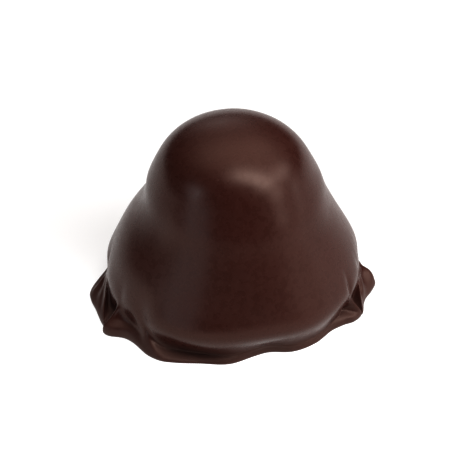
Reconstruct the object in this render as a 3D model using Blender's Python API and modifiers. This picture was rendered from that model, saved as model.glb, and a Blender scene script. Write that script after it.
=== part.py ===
"""A whisky chocolate bonbon: a bell-shaped centre coated in dark chocolate.

The coating turns under all round the base and runs out into a thin, uneven foot. On the left and
the right it was drawn out into pleats, which web the lower body to the foot and end in blunt points.

Metres, +Z up. The origin is the middle of the flat underside. The front is -Y and the right is +X.
Azimuths are in degrees, counter-clockwise from +X as seen from above.
"""

import math
from functools import lru_cache

import bmesh
import bpy

MM = 0.001

# Driving dimensions of the body: a round head on flanks that flare out to the belly
HEAD_RADIUS = 10.4 * MM
HEAD_HEIGHT = 14.1 * MM
BELLY_RADIUS = 15.25 * MM

# Driving dimensions of the crease over the foot, and of the foot's rounded edge
CREASE_RISE = 0.5 * MM
RIM_ROUNDING = 0.3 * MM

# The cage's rows from the belly to the foot's edge, by the share of the way: two lie on the flank,
# and the others run from the crease to the edge
SKIRT_LEVELS = (0.0, 0.25, 0.5, 0.6, 0.8, 1.0)
FLANK_ROWS = 2

# The cage's rows round the edge: the reach beyond it in roundings, and the share of its height
RIM_CAGE = ((-0.3, 1.0), (0.2, 0.5), (-0.3, 0.0), (-3.0, 0.0))
UNDERSIDE_SHARES = (0.7, 0.35, 0.0)  # of the edge's radius, where the rows of the underside lie

# How finely the skin is divided: meridians round the axis, and the rings in each span of the cage,
# from the top to the base
MERIDIANS = 150
SPAN_RINGS = (3, 3, 3, 2, 1, 1, 2, 2, 2, 2, 2, 2, 1, 1, 1, 1, 1, 1, 1, 1, 1)
RINGS = sum(SPAN_RINGS)
CROWDING = 0.5  # how strongly the meridians gather at the pleated left and right sides
MERGE_DISTANCE = 0.0001  # of the turned ball, whose radius is 1

# The head's part of the half outline's cage: (degrees from the axis, share of the head's radius)
HEAD_CAGE = (
    (0.0, 0.995),
    (24.0, 1.013),
    (48.0, 1.062),
    (68.0, 1.021),
)

# The rest of the body's cage, from the neck to the turn under the belly: (radius, height)
FLANK_CAGE = (
    (0.712 * BELLY_RADIUS, 16.1 * MM),
    (0.752 * BELLY_RADIUS, 14.4 * MM),
    (0.795 * BELLY_RADIUS, 12.7 * MM),
    (0.848 * BELLY_RADIUS, 10.7 * MM),
    (0.905 * BELLY_RADIUS, 8.6 * MM),
    (0.968 * BELLY_RADIUS, 6.3 * MM),
    (1.031 * BELLY_RADIUS, 4.2 * MM),
    (0.978 * BELLY_RADIUS, 2.5 * MM),
)

# The foot's edge between the pleats, joined by a smooth closed curve: azimuth, radius, height of its
# upper edge, and the width of the ledge between it and the crease
FOOT_EDGE = (
    (5.0, 16.2 * MM, 0.8 * MM, 1.8 * MM),
    (32.0, 15.5 * MM, 0.7 * MM, 1.3 * MM),
    (62.0, 15.2 * MM, 0.7 * MM, 1.0 * MM),
    (92.0, 15.6 * MM, 0.8 * MM, 1.4 * MM),
    (122.0, 15.2 * MM, 0.7 * MM, 1.0 * MM),
    (152.0, 15.4 * MM, 0.7 * MM, 1.2 * MM),
    (168.0, 15.7 * MM, 0.7 * MM, 1.4 * MM),
    (176.0, 16.5 * MM, 0.6 * MM, 1.7 * MM),
    (181.0, 17.1 * MM, 0.5 * MM, 2.0 * MM),
    (187.0, 17.6 * MM, 0.5 * MM, 2.2 * MM),
    (193.0, 17.5 * MM, 0.5 * MM, 1.4 * MM),
    (201.0, 17.3 * MM, 0.6 * MM, 1.8 * MM),
    (206.0, 17.6 * MM, 0.9 * MM, 2.6 * MM),
    (211.0, 17.4 * MM, 1.3 * MM, 2.4 * MM),
    (215.0, 16.2 * MM, 1.4 * MM, 0.9 * MM),
    (220.0, 16.0 * MM, 1.3 * MM, 0.7 * MM),
    (228.0, 16.15 * MM, 0.9 * MM, 1.0 * MM),
    (236.0, 16.7 * MM, 0.6 * MM, 1.5 * MM),
    (244.0, 16.1 * MM, 0.5 * MM, 1.6 * MM),
    (255.0, 15.2 * MM, 0.4 * MM, 1.2 * MM),
    (268.0, 14.85 * MM, 0.6 * MM, 0.7 * MM),
    (280.0, 13.7 * MM, 0.9 * MM, 0.1 * MM),
    (289.0, 13.4 * MM, 1.0 * MM, 0.0 * MM),
    (300.0, 14.4 * MM, 0.7 * MM, 0.25 * MM),
    (312.0, 14.7 * MM, 0.6 * MM, 0.3 * MM),
    (324.0, 14.6 * MM, 0.7 * MM, 0.3 * MM),
    (331.0, 15.3 * MM, 0.9 * MM, 0.9 * MM),
    (335.0, 16.1 * MM, 1.0 * MM, 2.0 * MM),
    (340.0, 16.4 * MM, 0.8 * MM, 1.7 * MM),
    (350.0, 15.9 * MM, 0.6 * MM, 1.5 * MM),
    (356.0, 16.5 * MM, 0.6 * MM, 2.0 * MM),
)

# The pleats, by azimuth. The crest of each runs from a root on the belly over a bend to a tip at the
# foot, all (azimuth, radius, height). Then come its half width in degrees and how round its crest
# is, as a share of the half width.
PLEATS = (
    (
        (5.0, 14.9 * MM, 2.3 * MM),
        (4.0, 16.9 * MM, 2.6 * MM),
        (1.8, 17.4 * MM, 0.7 * MM),
        3.6,
        0.4,
    ),
    (
        (28.0, 15.3 * MM, 3.6 * MM),
        (30.0, 15.8 * MM, 2.0 * MM),
        (33.0, 16.4 * MM, 0.9 * MM),
        6.0,
        0.5,
    ),
    (
        (151.0, 15.3 * MM, 4.0 * MM),
        (149.0, 15.9 * MM, 2.2 * MM),
        (146.0, 16.8 * MM, 1.1 * MM),
        6.0,
        0.5,
    ),
    (
        (180.0, 15.0 * MM, 2.9 * MM),
        (183.0, 16.2 * MM, 1.8 * MM),
        (187.0, 17.6 * MM, 0.5 * MM),
        2.4,
        0.3,
    ),
    (
        (184.3, 15.3 * MM, 4.2 * MM),
        (188.0, 15.8 * MM, 1.9 * MM),
        (196.0, 17.2 * MM, 0.8 * MM),
        1.5,
        1.2,
    ),
    (
        (188.0, 15.5 * MM, 4.2 * MM),
        (194.0, 15.8 * MM, 1.7 * MM),
        (206.0, 17.6 * MM, 1.0 * MM),
        1.5,
        1.2,
    ),
    (
        (209.0, 15.5 * MM, 3.8 * MM),
        (209.5, 16.8 * MM, 2.0 * MM),
        (209.8, 18.2 * MM, 1.4 * MM),
        2.2,
        0.8,
    ),
    (
        (224.0, 15.1 * MM, 3.8 * MM),
        (227.0, 15.6 * MM, 2.0 * MM),
        (235.0, 16.8 * MM, 0.7 * MM),
        3.2,
        1.2,
    ),
    (
        (337.0, 15.2 * MM, 3.6 * MM),
        (338.0, 15.8 * MM, 2.3 * MM),
        (339.2, 16.5 * MM, 1.2 * MM),
        1.3,
        0.4,
    ),
    (
        (353.0, 15.3 * MM, 4.2 * MM),
        (346.0, 15.6 * MM, 2.0 * MM),
        (341.0, 16.6 * MM, 1.1 * MM),
        1.8,
        1.0,
    ),
    (
        (358.0, 15.2 * MM, 4.0 * MM),
        (353.0, 15.7 * MM, 2.1 * MM),
        (349.5, 15.9 * MM, 0.9 * MM),
        1.8,
        1.2,
    ),
)

# Shallow hollows and, where the depth is negative, swellings left in the coat: azimuth, height,
# half width in degrees, half height and depth
HOLLOWS = (
    (160.0, 23.0 * MM, 35.0, 1.6 * MM, -0.2 * MM),
    (168.0, 13.4 * MM, 34.0, 2.0 * MM, 0.8 * MM),
    (190.0, 15.0 * MM, 30.0, 1.8 * MM, 0.4 * MM),
    (186.0, 10.2 * MM, 28.0, 1.7 * MM, -0.26 * MM),
    (176.0, 16.2 * MM, 18.0, 1.3 * MM, -0.12 * MM),
    (160.0, 12.0 * MM, 14.0, 1.3 * MM, 0.13 * MM),
    (204.0, 7.8 * MM, 22.0, 2.0 * MM, -0.62 * MM),
    (0.0, 12.9 * MM, 45.0, 2.6 * MM, 0.5 * MM),
    (352.0, 17.5 * MM, 28.0, 3.0 * MM, 0.14 * MM),
    (26.0, 11.6 * MM, 18.0, 1.6 * MM, -0.26 * MM),
    (14.0, 9.8 * MM, 22.0, 1.9 * MM, 0.17 * MM),
    (10.0, 7.2 * MM, 32.0, 1.8 * MM, -0.34 * MM),
    (199.0, 2.4 * MM, 9.0, 1.3 * MM, -0.6 * MM),
    (232.0, 2.5 * MM, 24.0, 1.5 * MM, -0.45 * MM),
    (284.0, 2.6 * MM, 17.0, 1.5 * MM, 0.6 * MM),
    (312.0, 2.5 * MM, 12.0, 1.4 * MM, -0.12 * MM),
)

CHOCOLATE_COLOUR = (0.050, 0.0175, 0.0135, 1.0)
CHOCOLATE_ROUGHNESS = 0.3


def turn_between(azimuth, other):
    """The shortest turn from other to azimuth, in degrees."""
    return (azimuth - other + 180.0) % 360.0 - 180.0


def swell(distance):
    """A smooth bump that is 1 in the middle and has died away three half widths out."""
    return math.exp(-distance * distance)


def peak(distance, crest):
    """A bump with a rounded crest and hollow sides, as a fold has."""
    return math.exp(crest - math.hypot(crest, distance))


def mix(start, end, share):
    """The point between start and end at this share of the way."""
    return tuple(a + (b - a) * share for a, b in zip(start, end))


def foot_edge(azimuth):
    """The foot's (radius, height, ledge width) between the pleats, on a smooth closed curve."""
    turns = [(azimuth - point[0]) % 360.0 for point in FOOT_EDGE]
    last = turns.index(min(turns))
    before, start, end, after = (FOOT_EDGE[(last + step) % len(FOOT_EDGE)] for step in (-1, 0, 1, 2))
    length = (end[0] - start[0]) % 360.0
    t = turns[last] / length
    edge = []
    for axis in (1, 2, 3):
        slope_in = (end[axis] - before[axis]) / ((end[0] - before[0]) % 360.0) * length
        slope_out = (after[axis] - start[axis]) / ((after[0] - start[0]) % 360.0) * length
        edge.append(
            (2.0 * t**3 - 3.0 * t**2 + 1.0) * start[axis]
            + (t**3 - 2.0 * t**2 + t) * slope_in
            + (3.0 * t**2 - 2.0 * t**3) * end[axis]
            + (t**3 - t**2) * slope_out
        )
    return tuple(edge)


def crest_point(pleat, along):
    """The crest of a pleat as (azimuth, radius, height), along running from 0 at root to 1 at tip."""
    root, bend, tip = pleat[:3]
    return mix(mix(root, bend, along), mix(bend, tip, along), along)


def leaning(azimuth, along):
    """Where the coat that hangs down from this azimuth has got to; it follows the crests beside it."""
    turns = [(azimuth - pleat[0][0]) % 360.0 for pleat in PLEATS]
    last = turns.index(min(turns))
    before = PLEATS[last]
    after = PLEATS[(last + 1) % len(PLEATS)]
    share = turns[last] / ((after[0][0] - before[0][0]) % 360.0)
    leans = [crest_point(pleat, along)[0] - pleat[0][0] for pleat in (before, after)]
    return azimuth + leans[0] + (leans[1] - leans[0]) * share


def drawn_out(plain, azimuth, along):
    """A plain cage point pulled out towards the pleats, by how near they are to this azimuth."""
    open_share = 1.0
    total = radius = height = 0.0
    for pleat in PLEATS:
        _, crest_radius, crest_height = crest_point(pleat, along)
        share = peak(turn_between(azimuth, pleat[0][0]) / pleat[3], pleat[4])
        open_share *= 1.0 - share
        total += share
        radius += share * crest_radius
        height += share * crest_height
    return mix(plain, (radius / total, height / total), 1.0 - open_share)


def hollow_depth(azimuth, height):
    """How deep the coat sinks at this place on the body."""
    depth = 0.0
    for at, at_height, width, half_height, deepest in HOLLOWS:
        across = turn_between(azimuth, at) / width
        along = (height - at_height) / half_height
        depth += deepest * swell(across) * swell(along)
    return depth


@lru_cache(maxsize=None)
def section_cage(azimuth):
    """The cage of one hanging line of the coat, from the top to the middle of the underside.

    It is a list of (azimuth, radius, height). The azimuth is the line's own on the body and follows
    the pleats below it.
    """
    body = []
    for degrees, share in HEAD_CAGE:
        angle = math.radians(degrees)
        reach = share * HEAD_RADIUS
        body.append((reach * math.sin(angle), HEAD_HEIGHT + reach * math.cos(angle)))
    body.extend(FLANK_CAGE)
    body = [(max(0.0, r - hollow_depth(azimuth, z)), z) for r, z in body]

    skirt = []
    foot_start = SKIRT_LEVELS[FLANK_ROWS]
    for row, along in enumerate(SKIRT_LEVELS):
        there = leaning(azimuth, along)
        edge, thickness, ledge = foot_edge(there)
        crease = (edge - ledge, thickness + CREASE_RISE)
        if row < FLANK_ROWS:
            plain = body[row - FLANK_ROWS]
        else:
            plain = mix(crease, (edge, thickness), (along - foot_start) / (1.0 - foot_start))
        skirt.append((there, *drawn_out(plain, azimuth, along)))
    there, tip, top = skirt.pop()
    rim = [(there, tip + out * RIM_ROUNDING, share * top) for out, share in RIM_CAGE]
    base = [(there, tip * share, 0.0) for share in UNDERSIDE_SHARES]
    return [(azimuth, r, z) for r, z in body[:-FLANK_ROWS]] + skirt + rim + base


@lru_cache(maxsize=None)
def hanging_line(azimuth):
    """The hanging line at this azimuth: (azimuth, radius, height) on each ring, top to base.

    It is the uniform cubic B-spline of the cage, carried past both ends by their mirror images.
    """
    cage = section_cage(azimuth)
    (top_azimuth, first_r, first_z), (base_azimuth, last_r, last_z) = cage[1], cage[-2]
    points = [(top_azimuth, -first_r, first_z), *cage, (base_azimuth, -last_r, last_z)]
    places = [(span, step / rings) for span, rings in enumerate(SPAN_RINGS) for step in range(rings)]
    places.append((len(SPAN_RINGS) - 1, 1.0))
    line = []
    for span, t in places:
        weights = (
            (1.0 - t) ** 3 / 6.0,
            (3.0 * t**3 - 6.0 * t**2 + 4.0) / 6.0,
            (-3.0 * t**3 + 3.0 * t**2 + 3.0 * t + 1.0) / 6.0,
            t**3 / 6.0,
        )
        near = points[span : span + 4]
        line.append(tuple(sum(w * point[axis] for w, point in zip(weights, near)) for axis in range(3)))
    return line


def skin_point(ball_point):
    """Where a point of the turned ball lies on the skin: same ring, and meridians crowded."""
    turn = math.atan2(ball_point.y, ball_point.x)
    ring = round(math.acos(max(-1.0, min(1.0, ball_point.z))) / math.pi * RINGS)
    start = round(math.degrees(turn - 0.5 * CROWDING * math.sin(2.0 * turn)), 4)
    azimuth, radius, height = hanging_line(start)[ring]
    angle = math.radians(azimuth)
    return radius * math.cos(angle), radius * math.sin(angle), height


def turned_ball():
    """A ball of radius 1, a half circle turned round the axis: its grid divides the skin."""
    half = bmesh.new()
    tilts = [math.pi * ring / RINGS for ring in range(RINGS + 1)]
    line = [half.verts.new((math.sin(tilt), 0.0, math.cos(tilt))) for tilt in tilts]
    for start, end in zip(line, line[1:]):
        half.edges.new((start, end))
    mesh = bpy.data.meshes.new("half_circle")
    half.to_mesh(mesh)
    half.free()

    obj = bpy.data.objects.new("half_circle", mesh)
    bpy.context.scene.collection.objects.link(obj)
    turn = obj.modifiers.new("turn", "SCREW")
    turn.steps = MERIDIANS
    turn.render_steps = MERIDIANS
    turn.use_merge_vertices = True
    turn.merge_threshold = MERGE_DISTANCE
    ball = bmesh.new()
    ball.from_object(obj, bpy.context.evaluated_depsgraph_get())
    bpy.data.objects.remove(obj)
    bpy.data.meshes.remove(mesh)
    return ball


def clear_scene():
    """Removes whatever the scene holds."""
    for obj in list(bpy.data.objects):
        bpy.data.objects.remove(obj)


def chocolate():
    """Dark chocolate with a satin gloss."""
    material = bpy.data.materials.new("dark_chocolate")
    material.use_nodes = True
    shader = material.node_tree.nodes["Principled BSDF"]
    shader.inputs["Base Color"].default_value = CHOCOLATE_COLOUR
    shader.inputs["Roughness"].default_value = CHOCOLATE_ROUGHNESS
    shader.inputs["Metallic"].default_value = 0.0
    return material


def bonbon(collection):
    """The coated bonbon: a turned ball whose grid is moved onto the coat's hanging lines."""
    form = turned_ball()
    for vertex in form.verts:
        vertex.co = skin_point(vertex.co)

    low = [min(vertex.co[axis] for vertex in form.verts) for axis in (0, 1)]
    high = [max(vertex.co[axis] for vertex in form.verts) for axis in (0, 1)]
    middle = [(a + b) / 2.0 for a, b in zip(low, high)]
    bmesh.ops.translate(form, verts=form.verts, vec=(-middle[0], -middle[1], 0.0))

    mesh = bpy.data.meshes.new("chocolate_bonbon")
    form.to_mesh(mesh)
    form.free()
    mesh.shade_smooth()
    mesh.materials.append(chocolate())
    obj = bpy.data.objects.new("chocolate_bonbon", mesh)
    collection.objects.link(obj)
    return obj


def main():
    """Builds the bonbon in a collection of its own."""
    clear_scene()
    collection = bpy.data.collections.new("whisky_bonbon")
    bpy.context.scene.collection.children.link(collection)
    bonbon(collection)


main()
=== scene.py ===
"""Looks of the whisky chocolate bonbon: its fine coat, the chocolate, the studio and the camera.

The coat hangs on the same lines as the solid's, on a much finer skin, and has the slight waves of
a dipped coat. Metres, +Z up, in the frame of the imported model. Azimuths are in degrees,
counter-clockwise from +X as seen from above.
"""

import math
from functools import lru_cache

import bmesh
import bpy
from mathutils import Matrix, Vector, noise


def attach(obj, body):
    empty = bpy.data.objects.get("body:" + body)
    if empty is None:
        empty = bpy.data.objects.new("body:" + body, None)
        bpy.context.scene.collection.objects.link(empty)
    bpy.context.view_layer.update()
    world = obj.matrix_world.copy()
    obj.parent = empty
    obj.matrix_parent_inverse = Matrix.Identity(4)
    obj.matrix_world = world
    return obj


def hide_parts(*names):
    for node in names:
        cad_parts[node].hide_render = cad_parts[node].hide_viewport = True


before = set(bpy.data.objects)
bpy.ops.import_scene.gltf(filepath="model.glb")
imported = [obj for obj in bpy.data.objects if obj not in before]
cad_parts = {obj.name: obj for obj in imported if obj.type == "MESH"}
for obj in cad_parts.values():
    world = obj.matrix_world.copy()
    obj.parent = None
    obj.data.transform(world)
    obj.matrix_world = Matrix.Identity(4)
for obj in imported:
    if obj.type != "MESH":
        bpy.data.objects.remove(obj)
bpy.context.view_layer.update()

MM = 0.001
NODE = "chocolate_bonbon"

# Driving dimensions of the body: a round head on flanks that flare out to the belly
HEAD_RADIUS = 10.4 * MM
HEAD_HEIGHT = 14.1 * MM
BELLY_RADIUS = 15.25 * MM

# Driving dimensions of the crease over the foot, and of the foot's rounded edge
CREASE_RISE = 0.5 * MM
RIM_ROUNDING = 0.3 * MM

# The cage's rows from the belly to the foot's edge, by the share of the way: two lie on the flank,
# and the others run from the crease to the edge
SKIRT_LEVELS = (0.0, 0.25, 0.5, 0.6, 0.8, 1.0)
FLANK_ROWS = 2

# The cage's rows round the edge: the reach beyond it in roundings, and the share of its height
RIM_CAGE = ((-0.3, 1.0), (0.2, 0.5), (-0.3, 0.0), (-3.0, 0.0))
UNDERSIDE_SHARES = (0.7, 0.35, 0.0)  # of the edge's radius, where the rows of the underside lie

# How finely the skin is divided: meridians round the axis, and the rings in each span of the cage,
# from the top to the base
MERIDIANS = 560
SPAN_RINGS = (14, 13, 12, 10, 8, 8, 8, 8, 8, 10, 10, 9, 8, 8, 8, 8, 6, 5, 3, 3, 3)
RINGS = sum(SPAN_RINGS)
CROWDING = 0.32  # how strongly the meridians gather at the pleated left and right sides
MERGE_DISTANCE = 0.0001  # of the turned ball, whose radius is 1

# The head's part of every hanging line's cage: (degrees from the axis, share of the head's radius)
HEAD_CAGE = (
    (0.0, 0.995),
    (24.0, 1.013),
    (48.0, 1.062),
    (68.0, 1.021),
)

# The rest of the body's cage, from the neck to the turn under the belly: (radius, height)
FLANK_CAGE = (
    (0.712 * BELLY_RADIUS, 16.1 * MM),
    (0.752 * BELLY_RADIUS, 14.4 * MM),
    (0.795 * BELLY_RADIUS, 12.7 * MM),
    (0.848 * BELLY_RADIUS, 10.7 * MM),
    (0.905 * BELLY_RADIUS, 8.6 * MM),
    (0.968 * BELLY_RADIUS, 6.3 * MM),
    (1.031 * BELLY_RADIUS, 4.2 * MM),
    (0.978 * BELLY_RADIUS, 2.5 * MM),
)

# The foot's edge between the pleats, joined by a smooth closed curve: azimuth, radius, height of
# its upper edge, and the width of the ledge between it and the crease
FOOT_EDGE = (
    (5.0, 16.2 * MM, 0.8 * MM, 1.8 * MM),
    (32.0, 15.5 * MM, 0.7 * MM, 1.3 * MM),
    (62.0, 15.2 * MM, 0.7 * MM, 1.0 * MM),
    (92.0, 15.6 * MM, 0.8 * MM, 1.4 * MM),
    (122.0, 15.2 * MM, 0.7 * MM, 1.0 * MM),
    (152.0, 15.4 * MM, 0.7 * MM, 1.2 * MM),
    (168.0, 15.7 * MM, 0.7 * MM, 1.4 * MM),
    (176.0, 16.5 * MM, 0.6 * MM, 1.7 * MM),
    (181.0, 17.1 * MM, 0.5 * MM, 2.0 * MM),
    (187.0, 17.6 * MM, 0.5 * MM, 2.2 * MM),
    (193.0, 17.5 * MM, 0.5 * MM, 1.4 * MM),
    (201.0, 17.3 * MM, 0.6 * MM, 1.8 * MM),
    (206.0, 17.6 * MM, 0.9 * MM, 2.6 * MM),
    (211.0, 17.4 * MM, 1.3 * MM, 2.4 * MM),
    (215.0, 16.2 * MM, 1.4 * MM, 0.9 * MM),
    (220.0, 16.0 * MM, 1.3 * MM, 0.7 * MM),
    (228.0, 16.15 * MM, 0.9 * MM, 1.0 * MM),
    (236.0, 16.7 * MM, 0.6 * MM, 1.5 * MM),
    (244.0, 16.1 * MM, 0.5 * MM, 1.6 * MM),
    (255.0, 15.2 * MM, 0.4 * MM, 1.2 * MM),
    (268.0, 14.85 * MM, 0.6 * MM, 0.7 * MM),
    (280.0, 13.7 * MM, 0.9 * MM, 0.1 * MM),
    (289.0, 13.4 * MM, 1.0 * MM, 0.0 * MM),
    (300.0, 14.4 * MM, 0.7 * MM, 0.25 * MM),
    (312.0, 14.7 * MM, 0.6 * MM, 0.3 * MM),
    (324.0, 14.6 * MM, 0.7 * MM, 0.3 * MM),
    (331.0, 15.3 * MM, 0.9 * MM, 0.9 * MM),
    (335.0, 16.1 * MM, 1.0 * MM, 2.0 * MM),
    (340.0, 16.4 * MM, 0.8 * MM, 1.7 * MM),
    (350.0, 15.9 * MM, 0.6 * MM, 1.5 * MM),
    (356.0, 16.5 * MM, 0.6 * MM, 2.0 * MM),
)

# The pleats, by azimuth. The crest of each runs from a root on the belly over a bend to a tip at
# the foot, all (azimuth, radius, height). Then come its half width in degrees and how round its
# crest is, as a share of the half width.
PLEATS = (
    (
        (5.0, 14.9 * MM, 2.3 * MM),
        (4.0, 16.9 * MM, 2.6 * MM),
        (1.8, 17.4 * MM, 0.7 * MM),
        3.6,
        0.4,
    ),
    (
        (28.0, 15.3 * MM, 3.6 * MM),
        (30.0, 15.8 * MM, 2.0 * MM),
        (33.0, 16.4 * MM, 0.9 * MM),
        6.0,
        0.5,
    ),
    (
        (151.0, 15.3 * MM, 4.0 * MM),
        (149.0, 15.9 * MM, 2.2 * MM),
        (146.0, 16.8 * MM, 1.1 * MM),
        6.0,
        0.5,
    ),
    (
        (180.0, 15.0 * MM, 2.9 * MM),
        (183.0, 16.2 * MM, 1.8 * MM),
        (187.0, 17.6 * MM, 0.5 * MM),
        2.4,
        0.3,
    ),
    (
        (184.3, 15.3 * MM, 4.2 * MM),
        (188.0, 15.8 * MM, 1.9 * MM),
        (196.0, 17.2 * MM, 0.8 * MM),
        1.5,
        1.2,
    ),
    (
        (188.0, 15.5 * MM, 4.2 * MM),
        (194.0, 15.8 * MM, 1.7 * MM),
        (206.0, 17.6 * MM, 1.0 * MM),
        1.5,
        1.2,
    ),
    (
        (209.0, 15.5 * MM, 3.8 * MM),
        (209.5, 16.8 * MM, 2.0 * MM),
        (209.8, 18.2 * MM, 1.4 * MM),
        2.2,
        0.8,
    ),
    (
        (224.0, 15.1 * MM, 3.8 * MM),
        (227.0, 15.6 * MM, 2.0 * MM),
        (235.0, 16.8 * MM, 0.7 * MM),
        3.2,
        1.2,
    ),
    (
        (337.0, 15.2 * MM, 3.6 * MM),
        (338.0, 15.8 * MM, 2.3 * MM),
        (339.2, 16.5 * MM, 1.2 * MM),
        1.3,
        0.4,
    ),
    (
        (353.0, 15.3 * MM, 4.2 * MM),
        (346.0, 15.6 * MM, 2.0 * MM),
        (341.0, 16.6 * MM, 1.1 * MM),
        1.8,
        1.0,
    ),
    (
        (358.0, 15.2 * MM, 4.0 * MM),
        (353.0, 15.7 * MM, 2.1 * MM),
        (349.5, 15.9 * MM, 0.9 * MM),
        1.8,
        1.2,
    ),
)

# Shallow hollows and, where the depth is negative, swellings left in the coat: azimuth, height,
# half width in degrees, half height and depth
HOLLOWS = (
    (160.0, 23.0 * MM, 35.0, 1.6 * MM, -0.2 * MM),
    (168.0, 13.4 * MM, 34.0, 2.0 * MM, 0.8 * MM),
    (190.0, 15.0 * MM, 30.0, 1.8 * MM, 0.4 * MM),
    (186.0, 10.2 * MM, 28.0, 1.7 * MM, -0.26 * MM),
    (176.0, 16.2 * MM, 18.0, 1.3 * MM, -0.12 * MM),
    (160.0, 12.0 * MM, 14.0, 1.3 * MM, 0.13 * MM),
    (204.0, 7.8 * MM, 22.0, 2.0 * MM, -0.62 * MM),
    (0.0, 12.9 * MM, 45.0, 2.6 * MM, 0.5 * MM),
    (352.0, 17.5 * MM, 28.0, 3.0 * MM, 0.14 * MM),
    (26.0, 11.6 * MM, 18.0, 1.6 * MM, -0.26 * MM),
    (14.0, 9.8 * MM, 22.0, 1.9 * MM, 0.17 * MM),
    (10.0, 7.2 * MM, 32.0, 1.8 * MM, -0.34 * MM),
    (199.0, 2.4 * MM, 9.0, 1.3 * MM, -0.6 * MM),
    (232.0, 2.5 * MM, 24.0, 1.5 * MM, -0.45 * MM),
    (284.0, 2.6 * MM, 17.0, 1.5 * MM, 0.6 * MM),
    (312.0, 2.5 * MM, 12.0, 1.4 * MM, -0.12 * MM),
)

# The waves of the dipped coat: wavelength and how far they lift the skin
WAVES = ((9.0 * MM, 0.10 * MM), (3.5 * MM, 0.02 * MM))
WAVE_START = 1.0 * MM  # the height below which there are none
WAVE_FADING = 3.0 * MM  # they grow to their full height over this much above it

# The chocolate's tones, and the most that the later ones cover of those before
DARK_COLOUR = (0.0400, 0.0125, 0.0092, 1.0)
WARM_COLOUR = (0.0460, 0.0144, 0.0106, 1.0)
PALE_COLOUR = (0.0520, 0.0172, 0.0131, 1.0)
PALE_SHARE = 0.5
SPECK_COLOUR = (0.072, 0.0330, 0.0265, 1.0)
SPECK_SHARE = 0.6
# Painted light: a paler tone laid over the foot, standing in for light on its shaded ledge
FOOT_PAINTED_LIGHT = (0.058, 0.029, 0.024, 1.0)
FOOT_PAINTED_LIGHT_SHARE = 0.6
FOOT_FADING = (1.0 * MM, 2.4 * MM)  # between these heights the foot's painted light and duller gloss fade out

# The noise behind the tones: length, detail and seed, and the range of its values that counts
CLOUDS = (5.0 * MM, 2.0, 1.0)
MOTTLING = (0.8 * MM, 3.0, 4.0)
SPECKS = (0.22 * MM, 1.0, 9.0)
TONE_RANGE = (0.3, 0.7)
SPECK_RANGE = (0.60, 0.78)

# The chocolate's gloss
ROUGHNESS = (0.24, 0.32)
FOOT_DULLNESS = 0.2  # the roughness that the foot adds
CHOCOLATE_IOR = 1.42
GLOSS_TINT = (1.0, 0.80, 0.70, 1.0)

# The skin's grains, which show in the gloss: length, detail, seed and rise
SKIN_GRAINS = ((2.6 * MM, 1.0, 12.0, 0.012 * MM), (0.3 * MM, 2.0, 15.0, 0.0016 * MM))

# The camera: how far above the horizon, how far off, and the width of the view at the bonbon
CAMERA_ELEVATION = 38.0
CAMERA_DISTANCE = 600.0 * MM
CAMERA_CLIP = 10.0 * MM
SENSOR_WIDTH = 36.0  # in the camera's own millimetres
VIEW_WIDTH = 56.7 * MM
AIM = Vector((-0.04 * MM, 4.09 * MM, 5.24 * MM))

# The floor is a light table. Its glow at the back, behind the first of the two places along Y,
# turns into that at the front, before the second.
FLOOR_WIDTH = 3.0
FLOOR_COLOUR = (0.35, 0.35, 0.35, 1.0)
FLOOR_ROUGHNESS = 0.9
FLOOR_GLOW = (0.46, 1.1)
GLOW_RISE = (16.0 * MM, -22.0 * MM)

# The studio's soft lights: azimuth, elevation, half width in degrees, strength and colour. They
# weren't chosen by hand from the start: they began as the rounded result of a least-squares fit of
# the light to the photo. The first six were changed after that.
WHITE = (1.0, 1.0, 1.0)
WARM = (1.08, 0.98, 0.92)
COOL = (0.75, 0.95, 1.10)
SOFT_LIGHTS = (
    (332.0, 40.0, 9.5, 9.2, WHITE),
    (325.0, 59.0, 8.3, 9.0, WHITE),
    (295.0, 73.0, 7.8, 8.0, WHITE),
    (5.0, 32.0, 9.0, 5.6, WHITE),
    (335.5, 15.5, 6.5, 6.0, WHITE),
    (211.5, 24.0, 7.5, 4.2, COOL),
    (218.0, 4.5, 7.0, 2.0, COOL),
    (234.0, 6.5, 5.0, 2.4, COOL),
    (97.0, 25.0, 11.0, 1.5, WHITE),
    (42.5, 58.0, 16.0, 2.4, WARM),
    (128.0, 69.5, 16.5, 2.1, WARM),
    (5.0, 1.0, 7.5, 3.5, WHITE),
)

# How much deeper than neutral the picture's tones are
CONTRAST = 1.45


def turn_between(azimuth, other):
    """The shortest turn from other to azimuth, in degrees."""
    return (azimuth - other + 180.0) % 360.0 - 180.0


def swell(distance):
    """A smooth bump that is 1 in the middle and has died away three half widths out."""
    return math.exp(-distance * distance)


def peak(distance, crest):
    """A bump with a rounded crest and hollow sides, as a fold has."""
    return math.exp(crest - math.hypot(crest, distance))


def mix(start, end, share):
    """The point between start and end at this share of the way."""
    return tuple(a + (b - a) * share for a, b in zip(start, end))


def foot_edge(azimuth):
    """The foot's (radius, height, ledge width) between the pleats, on a smooth closed curve."""
    turns = [(azimuth - point[0]) % 360.0 for point in FOOT_EDGE]
    last = turns.index(min(turns))
    near = [FOOT_EDGE[(last + step) % len(FOOT_EDGE)] for step in (-1, 0, 1, 2)]
    before, start, end, after = near
    length = (end[0] - start[0]) % 360.0
    t = turns[last] / length
    edge = []
    for axis in (1, 2, 3):
        slope_in = (end[axis] - before[axis]) / ((end[0] - before[0]) % 360.0) * length
        slope_out = (after[axis] - start[axis]) / ((after[0] - start[0]) % 360.0) * length
        edge.append(
            (2.0 * t**3 - 3.0 * t**2 + 1.0) * start[axis]
            + (t**3 - 2.0 * t**2 + t) * slope_in
            + (3.0 * t**2 - 2.0 * t**3) * end[axis]
            + (t**3 - t**2) * slope_out
        )
    return tuple(edge)


def crest_point(pleat, along):
    """The crest of a pleat as (azimuth, radius, height); along goes from 0, its root, to 1."""
    root, bend, tip = pleat[:3]
    return mix(mix(root, bend, along), mix(bend, tip, along), along)


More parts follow.
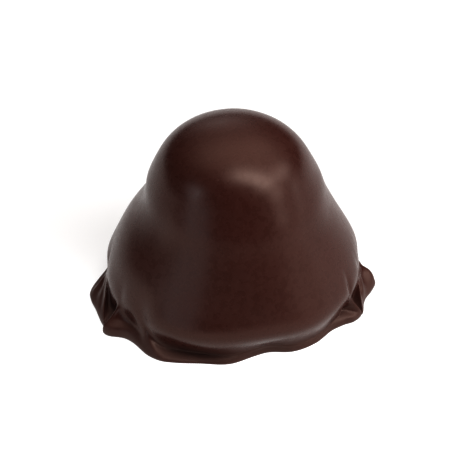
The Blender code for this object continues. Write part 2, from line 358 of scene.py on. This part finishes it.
def leaning(azimuth, along):
    """The azimuth that the coat hanging from this one has got to; it follows the nearest crests."""
    turns = [(azimuth - pleat[0][0]) % 360.0 for pleat in PLEATS]
    last = turns.index(min(turns))
    before = PLEATS[last]
    after = PLEATS[(last + 1) % len(PLEATS)]
    share = turns[last] / ((after[0][0] - before[0][0]) % 360.0)
    leans = [crest_point(pleat, along)[0] - pleat[0][0] for pleat in (before, after)]
    return azimuth + leans[0] + (leans[1] - leans[0]) * share


def drawn_out(plain, azimuth, along):
    """A plain cage point pulled out towards the pleats, by how near they are to this azimuth."""
    open_share = 1.0
    total = radius = height = 0.0
    for pleat in PLEATS:
        _, crest_radius, crest_height = crest_point(pleat, along)
        share = peak(turn_between(azimuth, pleat[0][0]) / pleat[3], pleat[4])
        open_share *= 1.0 - share
        total += share
        radius += share * crest_radius
        height += share * crest_height
    return mix(plain, (radius / total, height / total), 1.0 - open_share)


def hollow_depth(azimuth, height):
    """How deep the coat sinks at this place on the body."""
    depth = 0.0
    for at, at_height, width, half_height, deepest in HOLLOWS:
        across = turn_between(azimuth, at) / width
        along = (height - at_height) / half_height
        depth += deepest * swell(across) * swell(along)
    return depth


@lru_cache(maxsize=None)
def section_cage(azimuth):
    """The cage of one hanging line of the coat, from the top to the middle of the underside.

    It is a list of (azimuth, radius, height). The azimuth is the line's own on the body and follows
    the pleats below it.
    """
    body = []
    for degrees, share in HEAD_CAGE:
        angle = math.radians(degrees)
        reach = share * HEAD_RADIUS
        body.append((reach * math.sin(angle), HEAD_HEIGHT + reach * math.cos(angle)))
    body.extend(FLANK_CAGE)
    body = [(max(0.0, r - hollow_depth(azimuth, z)), z) for r, z in body]

    skirt = []
    foot_start = SKIRT_LEVELS[FLANK_ROWS]
    for row, along in enumerate(SKIRT_LEVELS):
        there = leaning(azimuth, along)
        edge, thickness, ledge = foot_edge(there)
        crease = (edge - ledge, thickness + CREASE_RISE)
        if row < FLANK_ROWS:
            plain = body[row - FLANK_ROWS]
        else:
            plain = mix(crease, (edge, thickness), (along - foot_start) / (1.0 - foot_start))
        skirt.append((there, *drawn_out(plain, azimuth, along)))
    there, tip, top = skirt.pop()
    rim = [(there, tip + out * RIM_ROUNDING, share * top) for out, share in RIM_CAGE]
    base = [(there, tip * share, 0.0) for share in UNDERSIDE_SHARES]
    return [(azimuth, r, z) for r, z in body[:-FLANK_ROWS]] + skirt + rim + base


@lru_cache(maxsize=None)
def hanging_line(azimuth):
    """The hanging line at this azimuth: (azimuth, radius, height) on each ring, top to base.

    It is the uniform cubic B-spline of the cage, carried past both ends by their mirror images.
    """
    cage = section_cage(azimuth)
    (top_azimuth, first_r, first_z), (base_azimuth, last_r, last_z) = cage[1], cage[-2]
    points = [(top_azimuth, -first_r, first_z), *cage, (base_azimuth, -last_r, last_z)]
    places = []
    for span, rings in enumerate(SPAN_RINGS):
        places.extend((span, ring / rings) for ring in range(rings))
    places.append((len(SPAN_RINGS) - 1, 1.0))
    line = []
    for span, t in places:
        weights = (
            (1.0 - t) ** 3 / 6.0,
            (3.0 * t**3 - 6.0 * t**2 + 4.0) / 6.0,
            (-3.0 * t**3 + 3.0 * t**2 + 3.0 * t + 1.0) / 6.0,
            t**3 / 6.0,
        )
        near = points[span : span + 4]
        line.append(tuple(sum(w * p[axis] for w, p in zip(weights, near)) for axis in range(3)))
    return line


def skin_point(ball_point):
    """Where a point of the turned ball lies on the skin: same ring, and meridians crowded."""
    turn = math.atan2(ball_point.y, ball_point.x)
    ring = round(math.acos(max(-1.0, min(1.0, ball_point.z))) / math.pi * RINGS)
    start = round(math.degrees(turn - 0.5 * CROWDING * math.sin(2.0 * turn)), 4)
    azimuth, radius, height = hanging_line(start)[ring]
    angle = math.radians(azimuth)
    return radius * math.cos(angle), radius * math.sin(angle), height


def turned_ball():
    """A ball of radius 1, a half circle turned round the axis: its grid divides the skin."""
    half = bmesh.new()
    tilts = [math.pi * ring / RINGS for ring in range(RINGS + 1)]
    line = [half.verts.new((math.sin(tilt), 0.0, math.cos(tilt))) for tilt in tilts]
    for start, end in zip(line, line[1:]):
        half.edges.new((start, end))
    mesh = bpy.data.meshes.new("half_circle")
    half.to_mesh(mesh)
    half.free()

    obj = bpy.data.objects.new("half_circle", mesh)
    bpy.context.scene.collection.objects.link(obj)
    turn = obj.modifiers.new("turn", "SCREW")
    turn.steps = MERIDIANS
    turn.render_steps = MERIDIANS
    turn.use_merge_vertices = True
    turn.merge_threshold = MERGE_DISTANCE
    ball = bmesh.new()
    ball.from_object(obj, bpy.context.evaluated_depsgraph_get())
    bpy.data.objects.remove(obj)
    bpy.data.meshes.remove(mesh)
    return ball


def wave_height(point):
    """How far the coat's waves lift the skin here; they die away towards the foot."""
    lift = sum(rise * noise.noise(Vector(point) / length) for length, rise in WAVES)
    return lift * min(1.0, max(0.0, (point[2] - WAVE_START) / WAVE_FADING))


def bonbon():
    """The fine coat: a turned ball moved onto the hanging lines, and then lifted by the waves."""
    form = turned_ball()
    for vertex in form.verts:
        vertex.co = skin_point(vertex.co)
    form.normal_update()
    for vertex in form.verts:
        vertex.co += wave_height(vertex.co) * vertex.normal

    low = [min(vertex.co[axis] for vertex in form.verts) for axis in (0, 1)]
    high = [max(vertex.co[axis] for vertex in form.verts) for axis in (0, 1)]
    middle = [(a + b) / 2.0 for a, b in zip(low, high)]
    bmesh.ops.translate(form, verts=form.verts, vec=(-middle[0], -middle[1], 0.0))

    mesh = bpy.data.meshes.new("coat")
    form.to_mesh(mesh)
    form.free()
    mesh.shade_smooth()
    obj = bpy.data.objects.new("coat", mesh)
    bpy.context.scene.collection.objects.link(obj)
    obj.data.materials.append(chocolate())
    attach(obj, "root")
    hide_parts(NODE)


def chocolate():
    """Satin dark chocolate, faintly mottled and speckled, on an uneven skin; painted light on a
    duller foot.
    """
    material = bpy.data.materials.new("dark_chocolate")
    material.use_nodes = True
    nodes = material.node_tree.nodes
    links = material.node_tree.links
    shader = nodes["Principled BSDF"]
    place = nodes.new("ShaderNodeTexCoord").outputs["Object"]

    def grain(length, detail, seed):
        """Noise whose lumps are about this long, with values round one half."""
        node = nodes.new("ShaderNodeTexNoise")
        node.noise_dimensions = "4D"
        node.inputs["W"].default_value = seed
        node.inputs["Scale"].default_value = 1.0 / length
        node.inputs["Detail"].default_value = detail
        links.new(place, node.inputs["Vector"])
        return node.outputs["Fac"]

    def spread(value, low, high, to_low, to_high):
        """Maps the range from low to high onto another, and stops at its ends."""
        node = nodes.new("ShaderNodeMapRange")
        for socket, number in (
            ("From Min", low),
            ("From Max", high),
            ("To Min", to_low),
            ("To Max", to_high),
        ):
            node.inputs[socket].default_value = number
        links.new(value, node.inputs["Value"])
        return node.outputs["Result"]

    def blend(factor, first, second):
        """Mixes two colours, each a colour or an output, by a factor that is an output."""
        node = nodes.new("ShaderNodeMix")
        node.data_type = "RGBA"
        for socket, value in (("Factor", factor), ("A", first), ("B", second)):
            kind = "Factor_Float" if socket == "Factor" else socket + "_Color"
            target = next(one for one in node.inputs if one.identifier == kind)
            if isinstance(value, bpy.types.NodeSocket):
                links.new(value, target)
            else:
                target.default_value = value
        return next(one for one in node.outputs if one.identifier == "Result_Color")

    clouds = spread(grain(*CLOUDS), *TONE_RANGE, 0.0, 1.0)
    mottling = spread(grain(*MOTTLING), *TONE_RANGE, 0.0, 1.0)
    specks = spread(grain(*SPECKS), *SPECK_RANGE, 0.0, 1.0)
    colour = blend(clouds, DARK_COLOUR, WARM_COLOUR)
    colour = blend(spread(mottling, 0.0, 1.0, 0.0, PALE_SHARE), colour, PALE_COLOUR)
    colour = blend(spread(specks, 0.0, 1.0, 0.0, SPECK_SHARE), colour, SPECK_COLOUR)
    apart = nodes.new("ShaderNodeSeparateXYZ")
    links.new(place, apart.inputs["Vector"])
    # Painted light: the foot's paler tone fades out above the foot; the same height mask dulls its
    # gloss
    foot = spread(apart.outputs["Z"], *FOOT_FADING, 1.0, 0.0)
    colour = blend(spread(foot, 0.0, 1.0, 0.0, FOOT_PAINTED_LIGHT_SHARE), colour, FOOT_PAINTED_LIGHT)
    links.new(colour, shader.inputs["Base Color"])
    dullness = nodes.new("ShaderNodeMath")
    links.new(spread(mottling, 0.0, 1.0, *ROUGHNESS), dullness.inputs[0])
    links.new(spread(foot, 0.0, 1.0, 0.0, FOOT_DULLNESS), dullness.inputs[1])
    links.new(dullness.outputs["Value"], shader.inputs["Roughness"])
    shader.inputs["IOR"].default_value = CHOCOLATE_IOR
    shader.inputs["Specular Tint"].default_value = GLOSS_TINT

    skin = None
    for length, detail, seed, rise in SKIN_GRAINS:
        bump = nodes.new("ShaderNodeBump")
        bump.inputs["Strength"].default_value = 1.0
        bump.inputs["Distance"].default_value = rise
        links.new(grain(length, detail, seed), bump.inputs["Height"])
        if skin is not None:
            links.new(skin, bump.inputs["Normal"])
        skin = bump.outputs["Normal"]
    links.new(skin, shader.inputs["Normal"])
    return material


def floor():
    """The plain pale floor, a light table that glows more towards the front."""
    bpy.ops.mesh.primitive_plane_add(size=FLOOR_WIDTH, location=(0.0, 0.0, 0.0))
    plane = bpy.context.object
    plane.name = "floor"
    material = bpy.data.materials.new("floor")
    material.use_nodes = True
    nodes = material.node_tree.nodes
    links = material.node_tree.links
    shader = nodes["Principled BSDF"]
    shader.inputs["Base Color"].default_value = FLOOR_COLOUR
    shader.inputs["Roughness"].default_value = FLOOR_ROUGHNESS
    shader.inputs["Emission Color"].default_value = (*WHITE, 1.0)
    place = nodes.new("ShaderNodeTexCoord").outputs["Object"]
    axes = nodes.new("ShaderNodeSeparateXYZ")
    links.new(place, axes.inputs["Vector"])
    glow = nodes.new("ShaderNodeMapRange")
    glow.interpolation_type = "SMOOTHSTEP"
    glow.inputs["From Min"].default_value = GLOW_RISE[0]
    glow.inputs["From Max"].default_value = GLOW_RISE[1]
    glow.inputs["To Min"].default_value = FLOOR_GLOW[0]
    glow.inputs["To Max"].default_value = FLOOR_GLOW[1]
    links.new(axes.outputs["Y"], glow.inputs["Value"])
    links.new(glow.outputs["Result"], shader.inputs["Emission Strength"])
    plane.data.materials.append(material)


def direction(azimuth, elevation):
    """The unit vector that points this way."""
    a, e = math.radians(azimuth), math.radians(elevation)
    return Vector((math.cos(e) * math.cos(a), math.cos(e) * math.sin(a), math.sin(e)))


def studio():
    """Soft studio light: glows round the bonbon that fade smoothly into each other."""
    world = bpy.data.worlds.new("studio")
    world.use_nodes = True
    bpy.context.scene.world = world
    nodes = world.node_tree.nodes
    links = world.node_tree.links
    way = nodes.new("ShaderNodeTexCoord").outputs["Generated"]

    light = None
    for azimuth, elevation, width, strength, colour in SOFT_LIGHTS:
        facing = nodes.new("ShaderNodeVectorMath")
        facing.operation = "DOT_PRODUCT"
        facing.inputs[1].default_value = direction(azimuth, elevation)
        links.new(way, facing.inputs[0])
        sharpness = 1.0 / math.radians(width) ** 2
        fading = nodes.new("ShaderNodeMath")
        fading.operation = "MULTIPLY_ADD"
        fading.inputs[1].default_value = sharpness
        fading.inputs[2].default_value = -sharpness
        links.new(facing.outputs["Value"], fading.inputs[0])
        glow = nodes.new("ShaderNodeMath")
        glow.operation = "EXPONENT"
        links.new(fading.outputs["Value"], glow.inputs[0])
        tinted = nodes.new("ShaderNodeVectorMath")
        tinted.operation = "SCALE"
        tinted.inputs[0].default_value = strength * Vector(colour)
        links.new(glow.outputs["Value"], tinted.inputs["Scale"])
        if light is None:
            light = tinted.outputs["Vector"]
            continue
        total = nodes.new("ShaderNodeVectorMath")
        total.operation = "ADD"
        links.new(light, total.inputs[0])
        links.new(tinted.outputs["Vector"], total.inputs[1])
        light = total.outputs["Vector"]
    links.new(light, nodes["Background"].inputs["Color"])


def camera():
    """A long lens at the photograph's angle."""
    data = bpy.data.cameras.new("camera")
    data.sensor_width = SENSOR_WIDTH
    data.lens = data.sensor_width * CAMERA_DISTANCE / VIEW_WIDTH
    data.clip_start = CAMERA_CLIP
    view = bpy.data.objects.new("camera", data)
    view.location = AIM + CAMERA_DISTANCE * direction(270.0, CAMERA_ELEVATION)
    view.rotation_euler = (math.radians(90.0 - CAMERA_ELEVATION), 0.0, 0.0)
    bpy.context.scene.collection.objects.link(view)
    bpy.context.scene.camera = view


bonbon()
floor()
studio()
camera()
bpy.context.scene.view_settings.view_transform = "Standard"
bpy.context.scene.view_settings.gamma = 1.0 / CONTRAST
